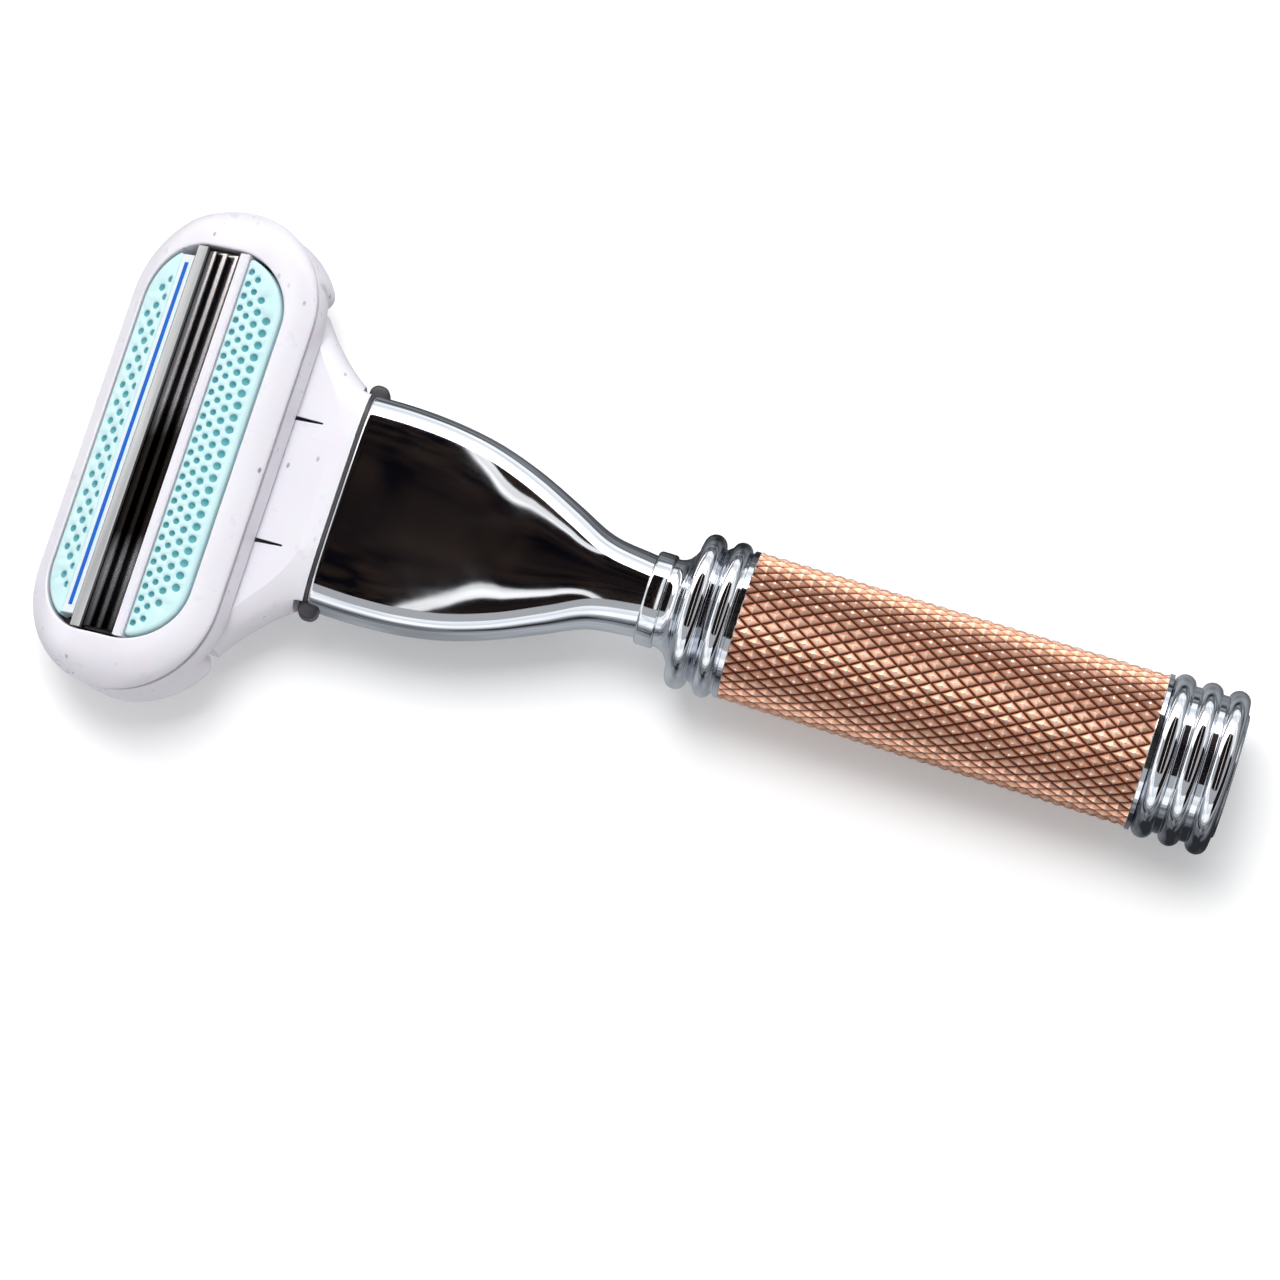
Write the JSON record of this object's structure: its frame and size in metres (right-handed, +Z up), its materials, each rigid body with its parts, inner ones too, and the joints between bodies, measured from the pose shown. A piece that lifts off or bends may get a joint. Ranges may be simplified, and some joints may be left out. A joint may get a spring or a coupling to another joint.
{
  "type": "safety razor",
  "caption": "Cartridge safety razor with a knurled metal handle, a chromed flat neck and a pivoting oval head with perforated cushions and a lubricating strip.",
  "frame": {"origin": "on the surface the razor lies on, under the centre of its bounding box", "axes": "+X along the handle from the shaving head to the rear cap, +Y across the razor along the blades, +Z up, with the shaving face upwards"},
  "size_m": [0.1032, 0.0436, 0.0145],
  "materials": {
    "chrome": "mirror polish",
    "rose_gold": "knurled, satin",
    "steel": "brushed",
    "blade_steel": "polished edge",
    "dark_plastic": "fine grain",
    "white_plastic": "satin gloss",
    "mint_foam": "perforated, soft",
    "strip_polymer": "waxy, slightly clear",
    "blue_line": "printed",
    "bar_metal": "brushed"
  },
  "bodies": {
    "handle": {"handle_core": "steel", "handle_sleeve": "rose_gold", "front_collar": "chrome", "rear_cap": "chrome", "neck_stud": "steel", "neck_shell": "chrome", "docking_insert": "dark_plastic", "tab_pins": "steel"},
    "tab_left": {"release_tab_left": "dark_plastic"},
    "tab_right": {"release_tab_right": "dark_plastic"},
    "yoke": {"yoke": "white_plastic"},
    "head": {"front_bezel": "white_plastic", "rear_shell": "white_plastic", "blade_frame": "dark_plastic", "cap_cushion": "mint_foam", "guard_cushion": "mint_foam", "lubricating_strip": "strip_polymer", "strip_line": "blue_line", "cap_bar": "bar_metal", "guard_bar": "white_plastic", "blade_1": "blade_steel", "blade_support_1": "steel", "blade_2": "blade_steel", "blade_support_2": "steel", "blade_3": "blade_steel", "blade_support_3": "steel"}
  },
  "joints": [
    {"name": "head_release", "type": "slide", "parent": "handle", "child": "yoke", "axis": [-1, 0, -0.0025], "range_m": [0, 0.015]},
    {"name": "head_pivot", "type": "hinge", "parent": "yoke", "child": "head", "pos_m": [-0.04085, 0, 0.005], "axis": [0, -1, 0], "range_deg": [0, 24], "stiffness_Nm_per_rad": 0.02, "springref_deg": -11.46},
    {"name": "tab_left_press", "type": "hinge", "parent": "handle", "child": "tab_left", "pos_m": [-0.02383, 0.00725, 0.00707], "axis": [-0.0025, 0, 1], "range_deg": [0, 4], "stiffness_Nm_per_rad": 0.05},
    {"name": "tab_right_press", "type": "hinge", "parent": "handle", "child": "tab_right", "pos_m": [-0.02383, -0.00725, 0.00707], "axis": [0.0025, 0, -1], "range_deg": [0, 4], "stiffness_Nm_per_rad": 0.05}
  ]
}
